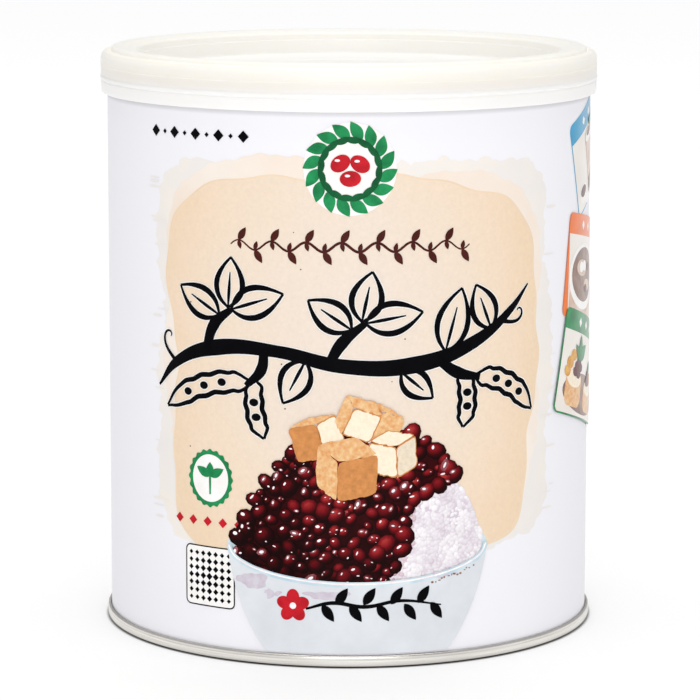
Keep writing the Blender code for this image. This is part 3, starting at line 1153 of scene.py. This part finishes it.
def drops(name, spots, layer, finish, relief, contrast, facets=(10, 6)):
    """Print one drop at each spot (across, up, half length, half width, angle, lift, tone).

    The drops are copies of one low dome. Each keeps its painted light in an attribute: its tone,
    and the contrast times how far its surface faces both the painted light and the viewer.
    """
    pattern = dome(*facets)
    corners = [v.co.copy() for v in pattern.data.vertices]
    pieces = []
    for across, up, half_length, half_width, angle, lift, tone in spots:
        piece = pattern.copy()
        piece.data = pattern.data.copy()
        bpy.context.scene.collection.objects.link(piece)
        piece.location = (across, -lift, up)
        piece.rotation_euler = (0, -angle, 0)
        piece.scale = (half_length, relief, half_width)
        c, s = math.cos(angle), math.sin(angle)
        values = []
        for co in corners:
            lit = PAINTED_LIGHT.dot((c * co.x - s * co.z, s * co.x + c * co.z, -co.y))
            values.append(min(max(tone + contrast * max(lit, 0) * (0.3 - 0.7 * co.y), 0.0), 1.0))
        held = piece.data.attributes.new("shade", "FLOAT", "POINT")
        held.data.foreach_set("value", values)
        pieces.append(piece)
    bpy.data.objects.remove(pattern, do_unlink=True)
    select_only(*pieces)
    bpy.ops.object.transform_apply(location=True, rotation=True, scale=True)
    print_film(name, pieces, layer, finish, strip=0)


def curve_between(start, middle, end, steps=10):
    """Points on a quadratic curve."""
    points = []
    for i in range(steps + 1):
        t = i / steps
        weights = ((1 - t) ** 2, 2 * t * (1 - t), t * t)
        points.append(tuple(sum(w * p[k] for w, p in zip(weights, (start, middle, end))) for k in (0, 1)))
    return points


class FOODTIN_OT_bowl(bpy.types.Operator):
    """Print the bowl of the picture, its lit rim and the blossoms painted on it"""

    bl_idname = "food_tin.bowl"
    bl_label = "Picture: bowl"
    bl_options = {"REGISTER", "UNDO"}

    def execute(self, context):
        across, level, half_width, half_height = BOWL
        left, right = across - half_width, across + half_width
        filled("bowl_inside", [ellipse(*BOWL)], 3, "bowl_rim_ink")
        front = ellipse(*BOWL, math.pi, math.tau)
        front += curve_between((right, level), (right - 3, 17), (BOWL_FOOT_RIGHT, BOWL_LOW))[1:]
        front += curve_between((BOWL_FOOT_LEFT, BOWL_LOW), (left + 3, 17), (left, level))[:-1]
        filled("bowl_front", [front], 14, "bowl_ink")
        for name, sink, girth, layer, finish in (
            ("bowl_rim", 0.2, 0.85, 15, "bowl_rim_ink"),
            ("bowl_rim_light", 0.0, 0.25, 16, "glint_ink"),
        ):
            rim = [
                (x, z - sink, girth)
                for x, z in ellipse(
                    across, level, half_width - 0.5, half_height - 0.2, math.pi, math.tau, 12
                )
            ]
            print_film(name, [brush_stroke(rim)], layer, finish)
        smudges = [
            blot_outline(across, up, width, height, 2.2, [(3, 0.5), (5, 0.3), (11, 0.12)], seed, steps=60)
            for seed, (across, up, width, height) in enumerate(SMUDGES)
        ]
        filled("bowl_smudges", smudges, 15, "smudge_ink")
        rng = random.Random(5)
        start, end, count = RIM_SPECKS
        specks = []
        for i in range(count):
            x = start + (end - start) * i / count
            fall = half_height * math.sqrt(1 - ((x - across) / half_width) ** 2)
            spot = (x + rng.uniform(-0.3, 0.3), level - fall - 1.1 - rng.uniform(0, 0.9))
            specks.append(ellipse(*spot, rng.uniform(0.2, 0.5), rng.uniform(0.15, 0.35), steps=12))
        filled("bowl_specks", specks, 15.5, "porridge_ink")
        self.twig()
        return {"FINISHED"}

    def twig(self):
        """A blossom and a leafy twig painted on the bowl."""
        blossom = (-17.0, 19.0)
        petals = []
        for i in range(5):
            angle = math.tau * i / 5 + math.pi / 2
            spot = (blossom[0] + 2.7 * math.cos(angle), blossom[1] + 2.7 * math.sin(angle))
            petals.append(turn_about(ellipse(*spot, 2.5, 2.0), spot, angle))
        print_film("bowl_petals", shapes_from(petals), 16, "red_ink")
        filled("bowl_flower_eye", [ellipse(*blossom, 1.0, 1.0)], 18, "glint_ink")
        stem = [(-13, 18.2, 0.35), (-5, 20.2, 0.6), (5, 19.0, 0.6), (16, 20.6, 0.5), (29, 18.6, 0.2)]
        shapes = [brush_stroke(stem)]
        for i in range(9):
            spot = (-8 + 4.2 * i, 19.6)
            degrees = 55 if i % 2 else -55
            shapes.append(flat_shape(leaf_outline(spot, 6.4, 3.0, math.radians(degrees))))
        print_film("bowl_twig", fanned(shapes), 16, "black_ink")


class FOODTIN_OT_dessert(bpy.types.Operator):
    """Print the shaved ice, the glossy beans and the cubes of rice cake"""

    bl_idname = "food_tin.dessert"
    bl_label = "Picture: dessert"
    bl_options = {"REGISTER", "UNDO"}

    def execute(self, context):
        rng = random.Random(11)
        self.ice(rng)
        self.beans(rng)
        self.cakes()
        return {"FINISHED"}

    def ice(self, rng):
        outline, heap = smooth_loop(ICE), smooth_loop(HEAP)
        filled("ice_ground", [outline], 4, "ice_ground_ink")
        clean, stained = [], []
        for across, up in scattered(rng, outline, 0.85, 3600):
            if inside((across, up), heap):
                continue
            half_length = rng.uniform(0.6, 1.3)
            half_width = half_length * rng.uniform(0.6, 0.95)
            hollow = math.sin(0.42 * across + 0.2 * up) * math.sin(0.36 * up - 0.15 * across)
            tone = rng.uniform(0.25, 0.55) + 0.22 * hollow
            spot = (across, up, half_length, half_width, rng.uniform(0, math.pi), rng.uniform(0, 0.08), tone)
            near = min(math.dist((across, up), point) for point in heap)
            (stained if near < rng.uniform(0.4, 3.2) else clean).append(spot)
        drops("ice_grains", clean, 4.6, "ice_ink", 0.03, 0.42, facets=(7, 4))
        drops("stained_grains", stained, 4.6, "stained_ice_ink", 0.03, 0.42, facets=(7, 4))

    def beans(self, rng):
        outline = smooth_loop(HEAP)
        middle = Vector((-2, 45))
        ground = [tuple(middle + (Vector(point) - middle) * 0.965) for point in outline]
        filled("syrup_ground", [ground], 5, "syrup_ink")
        top, low = max(z for x, z in outline), min(z for x, z in outline)
        large = [tuple(middle + (Vector(point) - middle) * 0.97) for point in outline[::3]] + [(33.6, 58.5)]
        large += [
            spot
            for spot in scattered(rng, ground, 3.7, sizes().beans)
            if all(math.dist(spot, other) > 3.0 for other in large)
        ]
        small = [
            spot
            for spot in scattered(rng, ground, 2.3, sizes().beans)
            if all(math.dist(spot, other) > 2.5 for other in large)
        ]
        spots, sheen, glints = [], [], []
        for number, (across, up) in enumerate(small + large):
            first = number < len(small)
            lift = (top - up) / (top - low) * 0.14 + rng.uniform(0, 0.04) + (0 if first else 0.07)
            half_length = rng.uniform(1.6, 2.2) if first else rng.uniform(2.2, 3.6)
            half_width = half_length * rng.uniform(0.68, 0.92)
            dark = max(0.0, -across / 60) + max(0.0, (50 - up) / 60)
            tone = rng.uniform(-0.08, 0.28) - 0.6 * dark
            spots.append((across, up, half_length, half_width, rng.uniform(-1.1, 1.1), lift, tone))
            for chance, aside, above, size in BEAN_GLINTS:
                if rng.random() < chance:
                    length = size * half_length * rng.uniform(0.6, 1.5)
                    place = (across + aside * half_length, up + above * half_width)
                    shape = (length, length * rng.uniform(0.35, 0.75), rng.uniform(-0.4, 1.4))
                    glints.append((*place, *shape, lift + 0.05, 1.0))
                    if rng.random() < 0.4:
                        wide = (length * 2.1, length * 1.2, shape[2])
                        sheen.append((*place, *wide, lift + 0.042, 1.0))
        drops("cooked_beans", spots, 5.7, "bean_ink", 0.045, 0.95)
        drops("bean_sheen", sheen, 5.7, "sheen_ink", 0.006, 0.0, facets=(8, 4))
        drops("bean_glints", glints, 5.7, "glint_ink", 0.01, 0.0, facets=(8, 4))

    def cakes(self):
        """Cubes of toasted rice cake, each drawn as its three faces that show."""
        shapes = {look: [] for look in CAKE_LOOKS}
        for number, (across, up, edge, angles, looks) in enumerate(CAKES):
            axes = Euler([math.radians(a) for a in angles]).to_matrix()
            for axis in range(3):
                first, second = (axes.col[k] * edge / 2 for k in range(3) if k != axis)
                out = axes.col[axis] * edge / 2
                if out.y > 0:
                    out = -out
                look = looks[2] if axis == 2 else looks[out.x > 0]
                cut = look in ("crumb", "crumb_shade")
                # A cut face keeps a thin line of crust all round it
                for name, size, lift in (("crust", 1.0, 0.0), (look, 0.92 if cut else 1.0, 0.02)):
                    outline = []
                    for a, b in ellipse(0, 0, 1, 1, steps=48):
                        stretch = (abs(a) ** 9 + abs(b) ** 9) ** (1 / 9) / size
                        spot = out + first * a / stretch + second * b / stretch
                        crumble = 0.13 * math.sin(9 * a + 5 * b + number + axis)
                        crumble += 0.07 * math.sin(21 * a - 17 * b)
                        outline.append((across + spot.x + crumble, up + spot.z + crumble))
                    shape = flat_shape(outline)
                    shape.location.y = -0.06 * number - 0.004 * axis - lift
                    shapes[name].append(shape)
        for look, faces in shapes.items():
            select_only(*faces)
            bpy.ops.object.transform_apply(location=True)
            print_film(f"cake_{look}", faces, 12, f"{look}_ink")


# The three recipe cards on the right


def tapered(across, up, top, bottom, height):
    """A glass from the side, by its middle and its widths at the top and bottom."""
    low, high = up - height / 2, up + height / 2
    return [
        (across - top / 2, high), (across + top / 2, high),
        (across + bottom / 2, low), (across - bottom / 2, low),
    ]


def sprout_leaf(across, up, length, width, degrees):
    return leaf_outline((across, up), length, width, math.radians(degrees))


CARD_WIDTH = 43.0
CARD_HEADER = 6.6
CARD_LINE = 0.6
CARDS = [
    # name, top left corner, tilt in degrees, height, ink of the header, how far its left border
    # widens downwards, layer
    ("cool_card", (84.0, 161.0), 18.0, 31.0, "blue_ink", 0.0, 1),
    ("warm_card", (85.7, 134.6), -9.9, 32.6, "orange_ink", 2.8, 7),
    ("fresh_card", (83.6, 105.3), -15.8, 33.2, "green_ink", 0.0, 13),
]
CARD_MARKS = [(diamond, 13.5, 2.2), (diamond, 21.5, 2.2), (diamond, 29.5, 2.2)]
DISHES = {
    # name, finish, then shapes by their outline and its numbers, from the middle of the picture
    "cool_card": [
        ("shake_plate", "white_ink", [(ellipse, 0, -10.4, 13, 2.6), (ellipse, -14, -7, 4.4, 3.0)]),
        ("shake_glass", "shake_ink", [(tapered, 0, -1, 15, 10, 19), (tapered, 14, -4, 10, 7, 12)]),
        ("shake_beans", "red_bean_ink", [(tapered, 0, -8, 11.2, 10.2, 5), (ellipse, -14, -6.2, 3.2, 1.7)]),
        ("shake_foam", "white_ink", [(ellipse, 0, 8.6, 7.5, 2.4), (ellipse, 14, 2.0, 5, 1.6)]),
        ("shake_topping", "red_bean_ink", [(ellipse, -1.5, 9.2, 3.4, 1.2), (ellipse, 14, 2.3, 2.2, 0.8)]),
        ("shake_leaves", "green_ink", [
            (sprout_leaf, 1.5, 9.6, 4.4, 2.2, 50), (sprout_leaf, 1.5, 9.6, 3.6, 1.8, 110)]),
    ],
    "warm_card": [
        ("porridge_table", "shake_ink", [(box_outline, 1.4, -8.4, 38, 7.6)]),
        ("porridge_bowl", "white_ink", [(ellipse, -4, 0, 15, 10.5), (ellipse, 15.5, -5, 4.2, 3.4)]),
        ("porridge", "porridge_ink", [(ellipse, -4, 0.6, 12.8, 8.6), (ellipse, 15.5, -4.7, 3.2, 2.4)]),
        ("porridge_swirl", "shake_ink", [(ellipse, -7, 2.6, 5.6, 2.6), (ellipse, 0.5, -2.4, 4.6, 1.8)]),
        ("porridge_beans", "red_bean_ink", [(ellipse, 1.6, 3.4, 2.0, 1.3), (ellipse, -1.4, -3.6, 2.0, 1.3)]),
        ("porridge_balls", "white_ink", [(ellipse, -8, 2.8, 2.2, 1.7), (ellipse, -4.4, 3.4, 2.2, 1.7)]),
    ],
    "fresh_card": [
        ("cake_board", "porridge_ink", [(ellipse, 1, -5.6, 18.6, 6.4)]),
        ("card_cakes", "pale_crust_ink", [
            (box_outline, -9, -5, 14, 11, 3.5), (box_outline, 8, -6, 13, 9.6, 3.5)]),
        ("card_cake_tops", "crumb_ink", [(ellipse, -9, -1.6, 6.4, 2.8), (ellipse, 8, -3.0, 6.0, 2.4)]),
        ("card_nuts", "nut_ink", [(ellipse, -14, 3.0, 2.6, 2.0), (ellipse, -11.4, 5.6, 2.4, 1.8),
                                (ellipse, 12.4, 0.6, 2.4, 1.8), (ellipse, -15.6, 0.2, 2.2, 1.8)]),
        ("card_beans", "red_bean_ink", [(ellipse, x, z, 2.1, 1.5) for x, z in (
            (-9, 0.6), (-6, 0.2), (-7.6, 2.6), (-4.4, 2.4), (-6, 4.4), (6, -1), (8.6, -0.6), (7.2, 1.2))]),
        ("card_leaves", "green_ink", [(sprout_leaf, -5, 4.6, 8, 3.6, 45), (sprout_leaf, -5, 4.6, 8, 3.6, 95),
                                    (sprout_leaf, -5, 4.6, 7, 3.2, 140), (sprout_leaf, 8, 1.4, 5, 2.4, 70)]),
    ],
}


class FOODTIN_OT_cards(bpy.types.Operator):
    """Print the three tilted cards with a plain header and a simple dish on each"""

    bl_idname = "food_tin.cards"
    bl_label = "Recipe cards"
    bl_options = {"REGISTER", "UNDO"}

    def execute(self, context):
        for name, corner, degrees, height, header, widening, layer in CARDS:
            tilt = math.radians(degrees)
            middle = (CARD_WIDTH / 2, (CARD_LINE - height - CARD_HEADER) / 2)

            def place(points, x=0.0, z=0.0):
                moved = [(corner[0] + x + across, corner[1] + z + up) for across, up in points]
                return turn_about(moved, corner, tilt)

            card = box_outline(CARD_WIDTH / 2, -height / 2, CARD_WIDTH, height, 2.4)
            filled(name, [place(card)], layer, header, once=True)
            right, foot = CARD_WIDTH - CARD_LINE, CARD_LINE - height
            picture = [
                (CARD_LINE, -CARD_HEADER), (right, -CARD_HEADER), (right, foot + 1.2), (right - 1.2, foot),
                (CARD_LINE + widening + 1.2, foot), (CARD_LINE + widening, foot + 1.2),
            ]
            filled(f"{name}_ground", [place(picture)], layer + 1, "card_ground", once=True)
            marks = [place(shape(0, 0, size), x, -CARD_HEADER / 2) for shape, x, size in CARD_MARKS]
            filled(f"{name}_marks", marks, layer + 1, "white_ink", once=True)
            for step, (part, finish, drawn) in enumerate(DISHES[name]):
                outlines = [place(shape(*numbers), *middle) for shape, *numbers in drawn]
                print_film(part, shapes_from(outlines), layer + 2 + 0.7 * step, finish, once=True)
        return {"FINISHED"}


WELD_ACROSS = 148.0  # behind the cards on the right
WELD_LOW, WELD_HIGH = 4.1, 173.5
PANEL = (-146.0, 92.0, 44.0, 112.0)  # middle across and up, width and height, behind on the left


class FOODTIN_OT_back_details(bpy.types.Operator):
    """Add the bare welded seam of the body and the plain ruled panel"""

    bl_idname = "food_tin.back_details"
    bl_label = "Weld and ruled panel"
    bl_options = {"REGISTER", "UNDO"}

    def execute(self, context):
        middle, height = (WELD_LOW + WELD_HIGH) / 2, WELD_HIGH - WELD_LOW
        margin = flat_shape(box_outline(WELD_ACROSS, middle, 7.0, height))
        lap = flat_shape(box_outline(WELD_ACROSS, middle, 0.9, height, 0.4), thickness=0.12)
        for name, shape, layer in (("weld_margin", margin, 0), ("weld_lap", lap, 2)):
            print_film(name, [shape], layer, "bright_tinplate", once=True, slot="bare_tinplate")
        across, up, width, tall = PANEL
        line, rows = 0.35, 14
        inner = box_outline(across, up, width - 2 * line, tall - 2 * line, 1.2)
        rules = [flat_shape(box_outline(*PANEL, 1.5), inner)]
        for row in range(1, rows):
            level = up + tall / 2 - tall * row / rows
            thick = 0.6 if row in (2, 9) else 0.2
            rules.append(flat_shape(box_outline(across, level, width - 3, thick)))
        rules.append(flat_shape(box_outline(across - 6, up - 4, 0.2, tall * 0.5)))
        print_film("ruled_panel", fanned(rules), 1, "black_ink", once=True)
        return {"FINISHED"}


FLOOR_RADIUS = 9  # metres
WORLD_LIGHT = 0.565
SOFTBOXES = [
    # name, place and side in metres, watts
    ("front_softbox", (0.05, -1.7, 0.15), 1.2, 13.0),
    ("top_softbox", (0.0, 0.1, 1.6), 1.3, 12.5),
]
LIT_POINT = Vector((0, 0, 0.09))  # the middle of the tin


class FOODTIN_OT_stage(bpy.types.Operator):
    """Set the pale floor, the soft lights and the camera"""

    bl_idname = "food_tin.stage"
    bl_label = "Stage"
    bl_options = {"REGISTER", "UNDO"}

    def execute(self, context):
        stage = context.scene.food_tin_stage
        bpy.ops.object.select_all(action="DESELECT")
        bpy.ops.mesh.primitive_circle_add(vertices=96, radius=FLOOR_RADIUS, fill_type="NGON")
        floor = context.object
        floor.name = "studio_floor"
        floor.data.materials.append(finish_named("floor_paper"))

        world = bpy.data.worlds.new("studio")
        context.scene.world = world
        world.use_nodes = True
        background = world.node_tree.nodes["Background"]
        background.inputs["Color"].default_value = (1, 1, 1, 1)
        background.inputs["Strength"].default_value = WORLD_LIGHT

        for name, place, size, power in SOFTBOXES:
            light = bpy.data.lights.new(name, "AREA")
            light.size = size
            light.energy = power
            lamp = bpy.data.objects.new(name, light)
            context.scene.collection.objects.link(lamp)
            lamp.location = place
            aim = LIT_POINT - Vector(place)
            lamp.rotation_euler = aim.to_track_quat("-Z", "Y").to_euler()

        camera_data = bpy.data.cameras.new("camera")
        camera_data.sensor_width = 36
        camera_data.lens = stage.lens
        camera_data.shift_x = stage.shift_across
        camera_data.shift_y = stage.shift
        camera_data.clip_start = 0.05
        camera = bpy.data.objects.new("camera", camera_data)
        context.scene.collection.objects.link(camera)
        camera.location = (0, -stage.distance, stage.height)
        look = Matrix.Rotation(math.pi / 2 - stage.pitch, 4, "X") @ Matrix.Rotation(stage.roll, 4, "Z")
        camera.rotation_euler = look.to_euler()
        context.scene.camera = camera
        context.scene.view_settings.view_transform = "Standard"
        return {"FINISHED"}


STEPS = (
    FOODTIN_OT_body,
    FOODTIN_OT_bottom,
    FOODTIN_OT_top,
    FOODTIN_OT_cap,
    FOODTIN_OT_wash,
    FOODTIN_OT_sprig,
    FOODTIN_OT_wreath,
    FOODTIN_OT_vine,
    FOODTIN_OT_small_print,
    FOODTIN_OT_bowl,
    FOODTIN_OT_dessert,
    FOODTIN_OT_cards,
    FOODTIN_OT_back_details,
    FOODTIN_OT_stage,
)


class FOODTIN_PT_panel(bpy.types.Panel):
    """Lists the steps that dress the tin"""

    bl_idname = "FOODTIN_PT_panel"
    bl_label = "Food tin"
    bl_space_type = "VIEW_3D"
    bl_region_type = "UI"
    bl_category = "Food tin"

    def draw(self, context):
        for step in STEPS:
            self.layout.operator(step.bl_idname)


GROUPS = {
    "food_tin_sizes": FoodTinSizes,
    "food_tin_colours": FoodTinColours,
    "food_tin_stage": FoodTinStage,
}


def register():
    for cls in (*GROUPS.values(), *STEPS, FOODTIN_PT_panel):
        bpy.utils.register_class(cls)
    for name, group in GROUPS.items():
        setattr(bpy.types.Scene, name, PointerProperty(type=group))


def unregister():
    for name in GROUPS:
        delattr(bpy.types.Scene, name)
    for cls in reversed((*GROUPS.values(), *STEPS, FOODTIN_PT_panel)):
        bpy.utils.unregister_class(cls)


def main():
    register()
    for step in STEPS:
        group, name = step.bl_idname.split(".")
        getattr(getattr(bpy.ops, group), name)()


if __name__ == "__main__":
    main()
